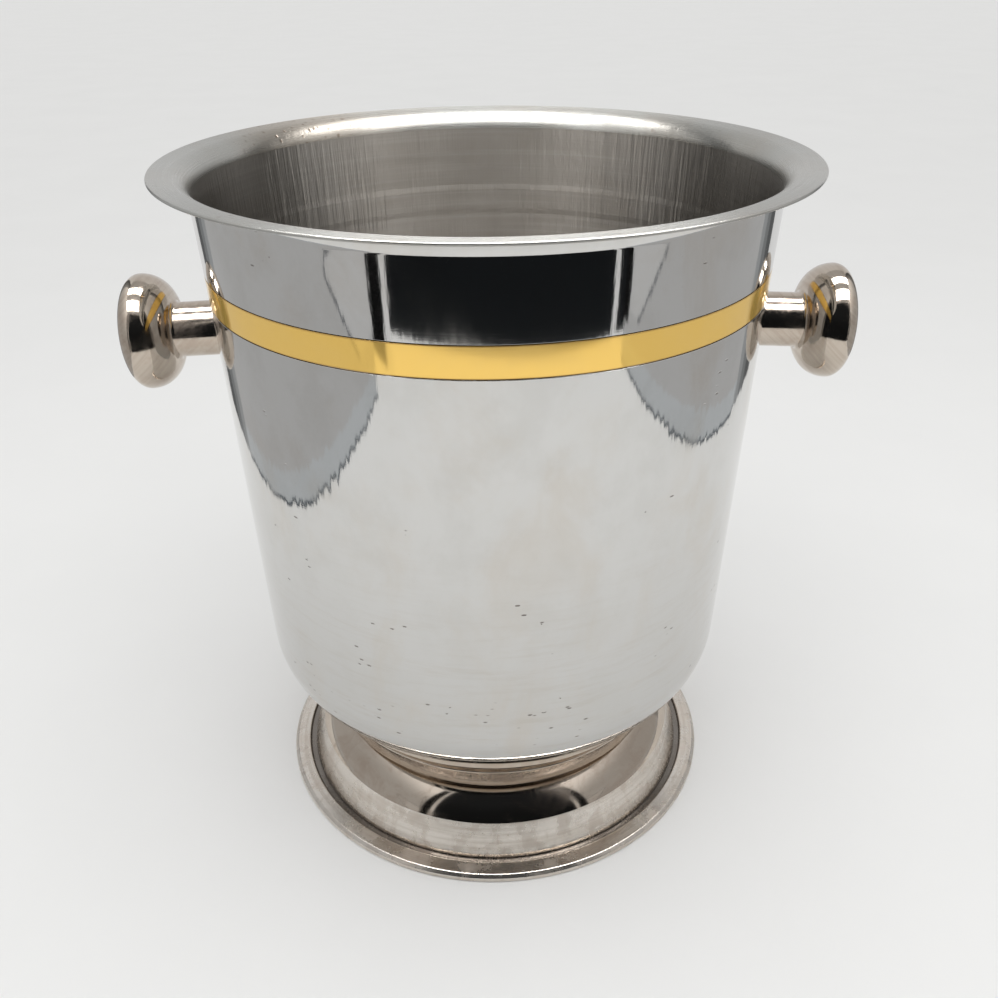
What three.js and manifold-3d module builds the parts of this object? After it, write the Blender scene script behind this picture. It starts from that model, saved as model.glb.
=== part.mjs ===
// Footed champagne bucket with two side knobs, in millimetres.
// +Z is up, the origin is the centre of the foot's resting ring, and the knobs lie along X.
import * as THREE from 'three';
import { mergeVertices } from 'three/addons/utils/BufferGeometryUtils.js';
import Module from 'manifold-3d';

const wasm = await Module();
wasm.setup();

// ---- driving dimensions ----
const RIM_RADIUS = 100;
const TOTAL_HEIGHT = 226.7;
const SHEET = 0.9;
const GAP = 0.3;

// The wall is a straight taper that runs into one big corner arc and a flat bottom.
const BOTTOM_HEIGHT = 42.5;
const BOTTOM_RADIUS = 58.4;
const CORNER_RADIUS = 24;
const WALL_TAPER = THREE.MathUtils.degToRad(2.45);
const LIP_SLOPE = THREE.MathUtils.degToRad(3.5);
const LIP_BEND = 4;

// The gilt band lies flush in a groove that is rolled into the wall.
const BAND_LOW = 189.5;
const BAND_HIGH = 198.3;
const BAND_THICKNESS = 0.4;
const ROLLED_DEPTH = BAND_THICKNESS + GAP;
const BULGE_DEPTH = 0.3;
const BULGE_SLOPE = 2;

// Distances along a knob are measured from the outside of the wall.
const KNOB_HEIGHT = 173.3;
const STEM_RADIUS = 8.9;
const STEM_LENGTH = 15.8;
const STEM_FILLET = 1.6;
const HEAD_ROUND = 9.8;
const HEAD_EDGE_DEPTH = 4.6;
const HEAD_EDGE_RADIUS = 5.5;
const HEAD_FACE_RADIUS = 15.7;
const HEAD_DOME = 2.8;
const BORE_DEPTH = 11;
const PLUG_REACH = 16;
const DRILL_LENGTH = 7.2;

const SCREW_RADIUS = 3;
const SCREW_REACH = 9.5;
const SCREW_HEAD_RADIUS = 6;
const SCREW_HEAD_HEIGHT = 3.3;
const SCREW_HEAD_CROWN = { radius: 0.6, height: 0.12 };
const SCREW_HEAD_SHOULDER = { radius: 0.9, height: 0.4 };
const WASHER_RADIUS = 8;
const WASHER_THICKNESS = 1.5;

// The foot is one spun shell: resting ring, sloping flange, band, cove, neck and drum.
const FOOT_RADIUS = 81.4;
const REST_INNER = 75;
const REST_THICKNESS = 1.2;
const EDGE_LOW = 0.6;
const EDGE_HIGH = 1.3;
const REST_OUTER = FOOT_RADIUS - EDGE_LOW;
const FLANGE_TOP = 3.5;
const FLANGE_INNER = 77;
const RIDGE_OUTER = 75.9;
const RIDGE_INNER = 75;
const INNER_GROOVE_DEPTH = 0.8;
const OUTER_GROOVE_DEPTH = 0.4;
const GROOVE_SLANT = 0.3;
const BAND_FOOT_RADIUS = 72.8;
const BAND_FOOT_HEIGHT = 4.4;
const BAND_BOW = 0.05;
const FOLD_RADIUS = 68.8;
const FOLD_HEIGHT = 15;
const COVE_BOW = 0.8;
const COVE_TOP_RADIUS = 60.6;
const COVE_TOP_HEIGHT = 23.3;
const NECK_RADIUS = 59.6;
const DRUM_RADIUS = 56;
const DRUM_BASE = 26.8;
const DRUM_TOP = BOTTOM_HEIGHT - GAP;
const DRUM_EDGE = 1.5;
const FOOT_SHELL = 1.2;

// The collar is a heavy ring round the drum, with a leaning face, a groove and a rim.
const COLLAR_BORE = 56.4;
const COLLAR_EDGE = 0.6;
const COLLAR_LOW_RADIUS = 62.4;
const COLLAR_WIDE_RADIUS = 63.8;
const COLLAR_WIDE_HEIGHT = 34.2;
const COLLAR_GROOVE_RADIUS = 62.6;
const COLLAR_RIM_RADIUS = 68.4;
const COLLAR_RIM_LOW = 40.4;
const COLLAR_RIM_HIGH = 42.9;
const COLLAR_RIM_WIDTH = 1.2;

const STUD_FLANGE_RADIUS = 10;
const STUD_RADIUS = 4;
const STUD_END = 29.5;
const FOOT_WASHER_RADIUS = 15;
const FOOT_WASHER_THICKNESS = 1.6;
const NUT_RADIUS = 7.5;
const NUT_HEIGHT = 6.5;
const THREAD_CHAMFER = 1;

const ROUND_STEPS = 64;
const KNOB_STEPS = 36;
const SMALL_STEPS = 24;

// ---- materials ----
const POLISHED_STEEL = { color: 0xc6c8c9, roughness: 0.12, metalness: 1 };
const POLISHED_GOLD = { color: 0xd9ae52, roughness: 0.14, metalness: 1 };
const WARM_NICKEL = { color: 0xbcab9b, roughness: 0.16, metalness: 1 };
const ZINC_STEEL = { color: 0xa8abad, roughness: 0.4, metalness: 1 };
const SEAL_RUBBER = { color: 0x2b2b2c, roughness: 0.8, metalness: 0 };

// ---- helpers ----
const point = (radius, height) => new THREE.Vector2(radius, height);

// Points of an arc from one angle to another, in radians, about a centre in the outline's plane.
function arc(centre, radius, from, to, steps) {
  return Array.from({ length: steps + 1 }, (unused, i) => {
    const angle = from + ((to - from) * i) / steps;
    return point(centre.x + radius * Math.cos(angle), centre.y + radius * Math.sin(angle));
  });
}

// Spins an outline, drawn anticlockwise, about the Z axis. A ring's outline is closed first.
function turned(outline, steps) {
  const first = outline[0];
  const isRing = first.x > 0;
  const points = isRing ? [...outline, first.clone()] : outline;
  return new THREE.LatheGeometry(points, steps).rotateX(Math.PI / 2);
}

function solidOf(geometry) {
  const bare = geometry.clone();
  bare.deleteAttribute('normal');
  bare.deleteAttribute('uv');
  const merged = mergeVertices(bare, 1e-4);
  const index = merged.index.array;
  const triVerts = [];
  for (let i = 0; i < index.length; i += 3) {
    const [a, b, c] = index.slice(i, i + 3);
    if (a !== b && b !== c && c !== a) triVerts.push(a, b, c);
  }
  const mesh = new wasm.Mesh({
    numProp: 3,
    vertProperties: new Float32Array(merged.attributes.position.array),
    triVerts: new Uint32Array(triVerts),
  });
  return new wasm.Manifold(mesh);
}

function geometryOf(solid) {
  const mesh = solid.getMesh();
  const geometry = new THREE.BufferGeometry();
  geometry.setAttribute('position', new THREE.Float32BufferAttribute(mesh.vertProperties, 3));
  geometry.setIndex(Array.from(mesh.triVerts));
  geometry.computeVertexNormals();
  return geometry;
}

function piece(name, geometry, look) {
  const mesh = new THREE.Mesh(geometry, new THREE.MeshStandardMaterial(look));
  mesh.name = name;
  return mesh;
}

// ---- bucket body ----
const cornerCentre = point(BOTTOM_RADIUS, BOTTOM_HEIGHT + CORNER_RADIUS);
const taperStart = point(
  cornerCentre.x + CORNER_RADIUS * Math.cos(WALL_TAPER),
  cornerCentre.y - CORNER_RADIUS * Math.sin(WALL_TAPER),
);

// Outside radius of the straight part of the wall.
const wallRadius = (height) => taperStart.x + (height - taperStart.y) * Math.tan(WALL_TAPER);

function lipBendCentre() {
  const radius = wallRadius(TOTAL_HEIGHT) + LIP_BEND;
  const drop = (RIM_RADIUS - radius) * Math.tan(LIP_SLOPE);
  return point(radius, TOTAL_HEIGHT - SHEET - drop - LIP_BEND);
}

// Rolled groove on the outside of the sheet, drawn upwards, and its bulge inside, drawn downwards.
function rolledGroove() {
  const low = BAND_LOW - GAP;
  const high = BAND_HIGH + GAP;
  return [
    point(wallRadius(low), low),
    point(wallRadius(low) - ROLLED_DEPTH, low),
    point(wallRadius(high) - ROLLED_DEPTH, high),
    point(wallRadius(high), high),
  ];
}

function rolledBulge() {
  const inner = (height, depth) => point(wallRadius(height) - SHEET - depth, height);
  const low = BAND_LOW - GAP - SHEET;
  const high = BAND_HIGH + GAP + SHEET;
  return [
    inner(high, 0),
    inner(high - BULGE_SLOPE, BULGE_DEPTH),
    inner(low + BULGE_SLOPE, BULGE_DEPTH),
    inner(low, 0),
  ];
}

function bodyOutline() {
  const bend = lipBendCentre();
  const lipAngle = Math.PI / 2 + LIP_SLOPE;
  const wallAngle = Math.PI - WALL_TAPER;
  return [
    point(0, BOTTOM_HEIGHT),
    ...arc(cornerCentre, CORNER_RADIUS, -Math.PI / 2, -WALL_TAPER, 9),
    ...rolledGroove(),
    ...arc(bend, LIP_BEND, wallAngle, lipAngle, 3),
    point(RIM_RADIUS - SHEET / 4, TOTAL_HEIGHT - SHEET),
    point(RIM_RADIUS, TOTAL_HEIGHT - SHEET / 2),
    point(RIM_RADIUS - SHEET / 4, TOTAL_HEIGHT),
    ...arc(bend, LIP_BEND + SHEET, lipAngle, wallAngle, 4),
    ...rolledBulge(),
    ...arc(cornerCentre, CORNER_RADIUS - SHEET, -WALL_TAPER, -Math.PI / 2, 9),
    point(0, BOTTOM_HEIGHT + SHEET),
  ];
}

// A frustum that follows the wall at a chosen distance outside it; it is used to trim saddles.
function wallPlug(offset) {
  const low = KNOB_HEIGHT - PLUG_REACH;
  const high = KNOB_HEIGHT + PLUG_REACH;
  const outline = [
    point(0, low),
    point(wallRadius(low) + offset, low),
    point(wallRadius(high) + offset, high),
    point(0, high),
  ];
  return solidOf(turned(outline, ROUND_STEPS));
}

function bucketBody() {
  const holeRadius = SCREW_RADIUS + GAP;
  const drill = new THREE.CylinderGeometry(holeRadius, holeRadius, DRILL_LENGTH, SMALL_STEPS);
  let body = solidOf(turned(bodyOutline(), ROUND_STEPS));
  for (const side of [-1, 1]) {
    const hole = drill.clone().rotateX(Math.PI / 2).applyMatrix4(knobPlacement(side));
    body = body.subtract(solidOf(hole));
  }
  return piece('bucket_body', geometryOf(body), POLISHED_STEEL);
}

function goldBand() {
  const outline = [
    point(wallRadius(BAND_LOW) - BAND_THICKNESS, BAND_LOW),
    point(wallRadius(BAND_LOW), BAND_LOW),
    point(wallRadius(BAND_HIGH), BAND_HIGH),
    point(wallRadius(BAND_HIGH) - BAND_THICKNESS, BAND_HIGH),
  ];
  return piece('gold_band', turned(outline, ROUND_STEPS), POLISHED_GOLD);
}

// ---- knobs and what holds them ----
// Local +Z becomes the knob's axis, square to the tapered wall, so it droops a little outwards.
function knobPlacement(side) {
  const turn = side * (Math.PI / 2 + WALL_TAPER);
  const matrix = new THREE.Matrix4().makeRotationY(turn);
  return matrix.setPosition(side * wallRadius(KNOB_HEIGHT), 0, KNOB_HEIGHT);
}

function knobOutline() {
  const bore = SCREW_RADIUS + GAP;
  const widest = STEM_LENGTH + HEAD_ROUND;
  const backCentre = point(STEM_RADIUS, widest);
  const filletCentre = point(STEM_RADIUS + STEM_FILLET, STEM_LENGTH - STEM_FILLET);
  const backStart = -Math.PI / 2 + Math.asin(STEM_FILLET / HEAD_ROUND);
  const edgeRadius = STEM_RADIUS + HEAD_ROUND - HEAD_EDGE_RADIUS;
  const faceAngle = Math.acos((HEAD_FACE_RADIUS - edgeRadius) / HEAD_EDGE_RADIUS);
  const edge = Array.from({ length: 4 }, (unused, i) => {
    const angle = (faceAngle * (i + 1)) / 4;
    const radius = edgeRadius + HEAD_EDGE_RADIUS * Math.cos(angle);
    return point(radius, widest + HEAD_EDGE_DEPTH * Math.sin(angle));
  });
  const faceHeight = edge.at(-1).y;
  const domeRadius = (HEAD_FACE_RADIUS ** 2 + HEAD_DOME ** 2) / (2 * HEAD_DOME);
  const domeCentre = point(0, faceHeight + HEAD_DOME - domeRadius);
  const domeStart = Math.acos(HEAD_FACE_RADIUS / domeRadius);
  return [
    point(0, BORE_DEPTH),
    point(bore, BORE_DEPTH),
    point(bore, -2 * SHEET),
    point(STEM_RADIUS, -2 * SHEET),
    ...arc(filletCentre, STEM_FILLET, Math.PI, Math.PI / 2, 3),
    ...arc(backCentre, HEAD_ROUND, backStart, 0, 7),
    ...edge,
    ...arc(domeCentre, domeRadius, domeStart, Math.PI / 2, 4).slice(1),
  ];
}

function knob(name, side) {
  const whole = turned(knobOutline(), KNOB_STEPS).applyMatrix4(knobPlacement(side));
  const saddled = solidOf(whole).subtract(wallPlug(GAP));
  return piece(name, geometryOf(saddled), WARM_NICKEL);
}

function knobWasher(name, side) {
  const bore = SCREW_RADIUS + GAP;
  const inside = -SHEET - GAP - WASHER_THICKNESS;
  const outline = [
    point(bore, inside),
    point(WASHER_RADIUS, inside),
    point(WASHER_RADIUS, 0),
    point(bore, 0),
  ];
  const flat = turned(outline, SMALL_STEPS).applyMatrix4(knobPlacement(side));
  const saddled = solidOf(flat).intersect(wallPlug(-SHEET - GAP));
  return piece(name, geometryOf(saddled), SEAL_RUBBER);
}

function knobScrew(name, side) {
  const underHead = -SHEET - GAP - WASHER_THICKNESS - GAP;
  const top = underHead - SCREW_HEAD_HEIGHT;
  const headPoint = (share) => {
    return point(SCREW_HEAD_RADIUS * share.radius, top + SCREW_HEAD_HEIGHT * share.height);
  };
  const outline = [
    point(0, top),
    headPoint(SCREW_HEAD_CROWN),
    headPoint(SCREW_HEAD_SHOULDER),
    point(SCREW_HEAD_RADIUS, underHead),
    point(SCREW_RADIUS, underHead),
    point(SCREW_RADIUS, SCREW_REACH - THREAD_CHAMFER),
    point(SCREW_RADIUS - THREAD_CHAMFER, SCREW_REACH),
    point(0, SCREW_REACH),
  ];
  const geometry = turned(outline, SMALL_STEPS).applyMatrix4(knobPlacement(side));
  return piece(name, geometry, ZINC_STEEL);
}

// ---- foot ----
function bowedLine(from, to, bow, steps) {
  const along = to.clone().sub(from);
  const out = point(along.y, -along.x).normalize();
  return Array.from({ length: steps + 1 }, (unused, i) => {
    const t = i / steps;
    return from.clone().addScaledVector(along, t).addScaledVector(out, 4 * bow * t * (1 - t));
  });
}

// Flange, its two grooves and the ridge between them, from the edge inwards.
function flangeOutline() {
  const low = FLANGE_TOP - OUTER_GROOVE_DEPTH;
  const deep = FLANGE_TOP - INNER_GROOVE_DEPTH;
  const grooveOuter = RIDGE_INNER - GROOVE_SLANT;
  return [
    point(FLANGE_INNER, FLANGE_TOP),
    point(FLANGE_INNER - GROOVE_SLANT, low),
    point(RIDGE_OUTER + GROOVE_SLANT, low),
    point(RIDGE_OUTER, FLANGE_TOP),
    point(RIDGE_INNER, FLANGE_TOP),
    point(grooveOuter, deep),
    point(BAND_FOOT_RADIUS + GROOVE_SLANT, deep),
  ];
}

function footBase() {
  const boltHole = STUD_FLANGE_RADIUS + GAP;
  const bandFoot = point(BAND_FOOT_RADIUS, BAND_FOOT_HEIGHT);
  const fold = point(FOLD_RADIUS, FOLD_HEIGHT);
  const coveTop = point(COVE_TOP_RADIUS, COVE_TOP_HEIGHT);
  const inside = (p) => point(p.x - FOOT_SHELL, p.y - FOOT_SHELL);
  const drumInside = DRUM_RADIUS - FOOT_SHELL;
  const outline = [
    point(REST_INNER, 0),
    point(REST_OUTER, 0),
    point(FOOT_RADIUS, EDGE_LOW),
    point(FOOT_RADIUS, EDGE_HIGH),
    ...flangeOutline(),
    ...bowedLine(bandFoot, fold, BAND_BOW, 4),
    ...bowedLine(fold, coveTop, COVE_BOW, 4).slice(1),
    point(NECK_RADIUS, COVE_TOP_HEIGHT + GAP),
    point(NECK_RADIUS, DRUM_BASE),
    point(DRUM_RADIUS, DRUM_BASE),
    point(DRUM_RADIUS, DRUM_TOP - DRUM_EDGE),
    point(DRUM_RADIUS - DRUM_EDGE, DRUM_TOP),
    point(boltHole, DRUM_TOP),
    point(boltHole, DRUM_TOP - FOOT_SHELL),
    point(drumInside - DRUM_EDGE, DRUM_TOP - FOOT_SHELL),
    point(drumInside, DRUM_TOP - FOOT_SHELL - DRUM_EDGE),
    point(drumInside, DRUM_BASE - FOOT_SHELL),
    point(NECK_RADIUS - FOOT_SHELL, DRUM_BASE - FOOT_SHELL),
    inside(coveTop),
    ...bowedLine(inside(fold), inside(bandFoot), -BAND_BOW, 3),
    point(BAND_FOOT_RADIUS - FOOT_SHELL, REST_THICKNESS),
    point(REST_INNER, REST_THICKNESS),
  ];
  return piece('foot_base', turned(outline, ROUND_STEPS), WARM_NICKEL);
}

// Ring round the drum, shaped on top to the corner arc of the bucket.
function collarRing() {
  const under = (radius) => {
    const across = Math.max(radius - cornerCentre.x, 0);
    const reach = CORNER_RADIUS + GAP;
    return cornerCentre.y - Math.sqrt(reach ** 2 - across ** 2);
  };
  const seat = (radius) => point(radius, under(radius));
  const bottom = DRUM_BASE + GAP;
  const rimInner = COLLAR_RIM_RADIUS - COLLAR_RIM_WIDTH;
  const outline = [
    point(COLLAR_BORE, bottom),
    point(COLLAR_LOW_RADIUS - COLLAR_EDGE, bottom),
    point(COLLAR_LOW_RADIUS, bottom + COLLAR_EDGE),
    point(COLLAR_WIDE_RADIUS, COLLAR_WIDE_HEIGHT),
    point(COLLAR_GROOVE_RADIUS, COLLAR_WIDE_HEIGHT + COLLAR_EDGE),
    point(COLLAR_GROOVE_RADIUS, COLLAR_RIM_LOW - COLLAR_EDGE),
    point(COLLAR_RIM_RADIUS - COLLAR_EDGE, COLLAR_RIM_LOW),
    point(COLLAR_RIM_RADIUS, COLLAR_RIM_LOW + COLLAR_EDGE),
    point(COLLAR_RIM_RADIUS, COLLAR_RIM_HIGH),
    seat(rimInner),
    seat((rimInner + cornerCentre.x) / 2),
    seat(cornerCentre.x),
    seat(COLLAR_BORE),
  ];
  return piece('collar_ring', turned(outline, ROUND_STEPS), WARM_NICKEL);
}

// ---- what holds the foot on ----
function footStud() {
  const flangeTop = BOTTOM_HEIGHT - GAP;
  const outline = [
    point(0, STUD_END),
    point(STUD_RADIUS - THREAD_CHAMFER, STUD_END),
    point(STUD_RADIUS, STUD_END + THREAD_CHAMFER),
    point(STUD_RADIUS, flangeTop - FOOT_SHELL),
    point(STUD_FLANGE_RADIUS, flangeTop - FOOT_SHELL),
    point(STUD_FLANGE_RADIUS, flangeTop),
    point(0, flangeTop),
  ];
  return piece('foot_stud', turned(outline, SMALL_STEPS), ZINC_STEEL);
}

const footWasherTop = DRUM_TOP - FOOT_SHELL - GAP;
const nutTop = footWasherTop - FOOT_WASHER_THICKNESS - GAP;

function footWasher() {
  const bore = STUD_RADIUS + GAP;
  const low = footWasherTop - FOOT_WASHER_THICKNESS;
  const outline = [
    point(bore, low),
    point(FOOT_WASHER_RADIUS, low),
    point(FOOT_WASHER_RADIUS, footWasherTop),
    point(bore, footWasherTop),
  ];
  return piece('foot_washer', turned(outline, SMALL_STEPS), ZINC_STEEL);
}

function footNut() {
  const hexagon = new THREE.Shape(arc(point(0, 0), NUT_RADIUS, 0, (5 / 3) * Math.PI, 5));
  const hole = arc(point(0, 0), STUD_RADIUS + GAP, 0, -Math.PI * 2, SMALL_STEPS);
  hexagon.holes.push(new THREE.Path(hole.slice(1)));
  const geometry = new THREE.ExtrudeGeometry(hexagon, { depth: NUT_HEIGHT, bevelEnabled: false });
  return piece('foot_nut', geometry.translate(0, 0, nutTop - NUT_HEIGHT), ZINC_STEEL);
}

// ---- assembly ----
const bucket = new THREE.Group();
bucket.add(bucketBody(), goldBand());
for (const [label, side] of [['left', -1], ['right', 1]]) {
  bucket.add(knob(`knob_${label}`, side));
  bucket.add(knobWasher(`knob_washer_${label}`, side));
  bucket.add(knobScrew(`knob_screw_${label}`, side));
}
bucket.add(collarRing(), footBase(), footStud(), footWasher(), footNut());

export default bucket;
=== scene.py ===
import math

import bpy
from mathutils import Matrix, Vector


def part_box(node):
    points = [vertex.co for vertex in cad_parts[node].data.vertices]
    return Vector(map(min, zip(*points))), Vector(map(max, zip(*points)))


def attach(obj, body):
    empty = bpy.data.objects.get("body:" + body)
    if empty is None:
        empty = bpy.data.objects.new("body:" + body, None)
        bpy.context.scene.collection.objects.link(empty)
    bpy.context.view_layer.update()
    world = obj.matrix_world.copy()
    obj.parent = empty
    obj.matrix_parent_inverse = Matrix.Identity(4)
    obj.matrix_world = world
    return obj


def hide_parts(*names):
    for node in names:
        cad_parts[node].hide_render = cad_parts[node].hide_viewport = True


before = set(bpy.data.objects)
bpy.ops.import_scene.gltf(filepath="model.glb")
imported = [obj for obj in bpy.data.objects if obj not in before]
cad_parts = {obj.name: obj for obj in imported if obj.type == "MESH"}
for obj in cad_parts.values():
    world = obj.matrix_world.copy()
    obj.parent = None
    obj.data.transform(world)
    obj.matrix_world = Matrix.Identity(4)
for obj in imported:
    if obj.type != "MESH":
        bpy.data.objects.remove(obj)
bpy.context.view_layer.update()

# Sizes are in metres. MM keeps the small ones readable.
MM = 0.001

# ---- sizes taken from the frame ----
body_low, body_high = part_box("bucket_body")
band_low, band_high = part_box("gold_band")
foot_low, foot_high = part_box("foot_base")
collar_low, collar_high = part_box("collar_ring")
stud_low, stud_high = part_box("foot_stud")
foot_washer_low, foot_washer_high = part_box("foot_washer")
RIM_RADIUS = body_high.x
RIM_TOP = body_high.z
BODY_BOTTOM = body_low.z
FOOT_RADIUS = foot_high.x

# ---- the body's own shape ----
SHEET = 0.9 * MM
GAP = 0.3 * MM
TAPER = math.radians(2.45)
LIP_SLOPE = math.radians(3.5)
LIP_BEND = 5.5 * MM
CORNER_RADIUS = 24 * MM
BOTTOM_RADIUS = 58.4 * MM
BAND_THICKNESS = 0.4 * MM
ROLLED_DEPTH = BAND_THICKNESS + GAP
BULGE_DEPTH = 0.15 * MM
BULGE_SLOPE = 2 * MM

# ---- a knob, measured along its own axis from the outside of the wall ----
KNOB_HEIGHT = 173.3 * MM
STEM_RADIUS = 8.9 * MM
STEM_LENGTH = 15.8 * MM
STEM_FILLET = 1.6 * MM
HEAD_ROUND = 9.8 * MM
HEAD_EDGE_DEPTH = 4.6 * MM
HEAD_EDGE_RADIUS = 5.5 * MM
HEAD_FACE_RADIUS = 15.7 * MM
HEAD_DOME = 2.75 * MM
SCREW_RADIUS = 3 * MM
SCREW_HEAD_RADIUS = 6 * MM
SCREW_HEAD_HEIGHT = 3.3 * MM
SCREW_REACH = 9.5 * MM
BORE_DEPTH = 11 * MM
WASHER_RADIUS = 8 * MM
WASHER_THICKNESS = 1.5 * MM

# ---- values that the materials use ----
LIP_STAIN = (-0.066, 0.066, 0.2255)
QUARTER_TURN = 0.25
GILT_METALLIC = 0.62

# ---- smoothness of turned pieces ----
ROUND_STEPS = 288
KNOB_STEPS = 160
SMALL_STEPS = 72
ARC_STEP = math.radians(4)

# ---- camera ----
CAMERA_SPOT = Vector((-0.0029, -0.3168, 0.2852))
CAMERA_PITCH = math.radians(29.47)
CAMERA_YAW = math.radians(0.98)
CAMERA_ROLL = math.radians(-0.60)
LENS = 36.08
SENSOR = 36.0


# ============ outlines ============
# An outline is a list of stations (radius, height, tangent in, tangent out). The tangents give
# every turned piece exact normals, so that polished faces reflect without ripples.

def direction(angle):
    return Vector((math.cos(angle), math.sin(angle)))


def arc(centre, radius, start, end, squash=1.0):
    """Stations round an arc. squash scales its height, for an elliptical edge."""
    steps = max(2, math.ceil(abs(end - start) / ARC_STEP))
    turn = 1 if end > start else -1
    stations = []
    for i in range(steps + 1):
        angle = start + (end - start) * i / steps
        spot = centre + radius * Vector((math.cos(angle), squash * math.sin(angle)))
        tangent = turn * Vector((-math.sin(angle), squash * math.cos(angle))).normalized()
        stations.append((spot, tangent, tangent))
    return stations


def corner(radius, height):
    """A station with a hard corner; its tangents are filled in from its neighbours."""
    return (Vector((radius, height)), None, None)


def fillet(before, at, after, radius):
    """Stations that round off the corner `at` between two points."""
    back = (before - at).normalized()
    ahead = (after - at).normalized()
    half = back.angle(ahead) / 2
    reach = radius / math.tan(half)
    centre = at + (back + ahead).normalized() * radius / math.sin(half)
    start = at + back * reach - centre
    end = at + ahead * reach - centre
    first = math.atan2(start.y, start.x)
    sweep = math.atan2(start.x * end.y - start.y * end.x, start.dot(end))
    return arc(centre, radius, first, first + sweep)


def rounded(points, closed):
    """Stations from (radius, height, fillet) points. The ends of an open outline stay hard."""
    stations = []
    count = len(points)
    spots = [Vector(p[:2]) for p in points]
    for i, (x, y, soft) in enumerate(points):
        is_end = not closed and i in (0, count - 1)
        if is_end or soft <= 0:
            stations.append(corner(x, y))
        else:
            stations += fillet(spots[i - 1], spots[i], spots[(i + 1) % count], soft)
    return stations


def settle_tangents(stations, closed):
    """Fills in hard corners, and follows chords where two stations share none."""
    count = len(stations)
    settled = []
    for i, (spot, tangent_in, tangent_out) in enumerate(stations):
        has_before = closed or i > 0
        has_after = closed or i < count - 1
        before = stations[i - 1][0] if has_before else None
        after = stations[(i + 1) % count][0] if has_after else None
        if tangent_in is None:
            chord_in = spot - before if has_before else after - spot
            chord_out = after - spot if has_after else spot - before
            tangent_in, tangent_out = chord_in.normalized(), chord_out.normalized()
        settled.append((spot, tangent_in, tangent_out))
    return settled


# ============ turned meshes ============
def turned(name, stations, steps, closed=True, place=None, bend=None):
    """Spins stations about Z. Outlines run anticlockwise, so that normals point outwards.
    bend moves each vertex in the piece's own frame, and place puts the piece in the row frame."""
    stations = settle_tangents(stations, closed)
    vertices, rings = [], []
    for spot, _, _ in stations:
        on_axis = spot.x < 1e-7
        ring = []
        for k in range(1 if on_axis else steps):
            angle = 2 * math.pi * k / steps
            ring.append(len(vertices))
            vertices.append(Vector((spot.x * math.cos(angle), spot.x * math.sin(angle), spot.y)))
        rings.append(ring)
    faces, normals = [], []
    pairs = [(i, (i + 1) % len(stations)) for i in range(len(stations) if closed else len(stations) - 1)]
    for i, j in pairs:
        out_i, out_j = stations[i][2], stations[j][1]
        for k in range(steps):
            m = (k + 1) % steps
            loop = []
            near, far = (rings[i], out_i), (rings[j], out_j)
            for (ring, tangent), at in ((near, k), (near, m), (far, m), (far, k)):
                index = ring[0] if len(ring) == 1 else ring[at]
                if loop and any(index == other[0] for other in loop):
                    continue
                spin = 2 * math.pi * (at if len(ring) > 1 else k + 0.5) / steps
                normal = Vector((tangent.y * math.cos(spin), tangent.y * math.sin(spin), -tangent.x))
                loop.append((index, normal))
            if len(loop) < 3:
                continue
            faces.append([index for index, _ in loop])
            normals += [normal for _, normal in loop]
    if bend:
        vertices = [bend(v) for v in vertices]
    if place:
        turn = place.to_3x3()
        vertices = [place @ v for v in vertices]
        normals = [turn @ n for n in normals]
    mesh = bpy.data.meshes.new(name)
    mesh.from_pydata(vertices, [], faces)
    mesh.validate()
    mesh.normals_split_custom_set([n.normalized()[:] for n in normals])
    piece = bpy.data.objects.new(name, mesh)
    bpy.context.scene.collection.objects.link(piece)
    return piece


def finished(piece, node, slot, *materials):
    """Gives a piece its materials and puts it in place of its CAD node."""
    for material in materials:
        piece.data.materials.append(material)
    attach(piece, "root")
    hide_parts(node)
    return piece


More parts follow.
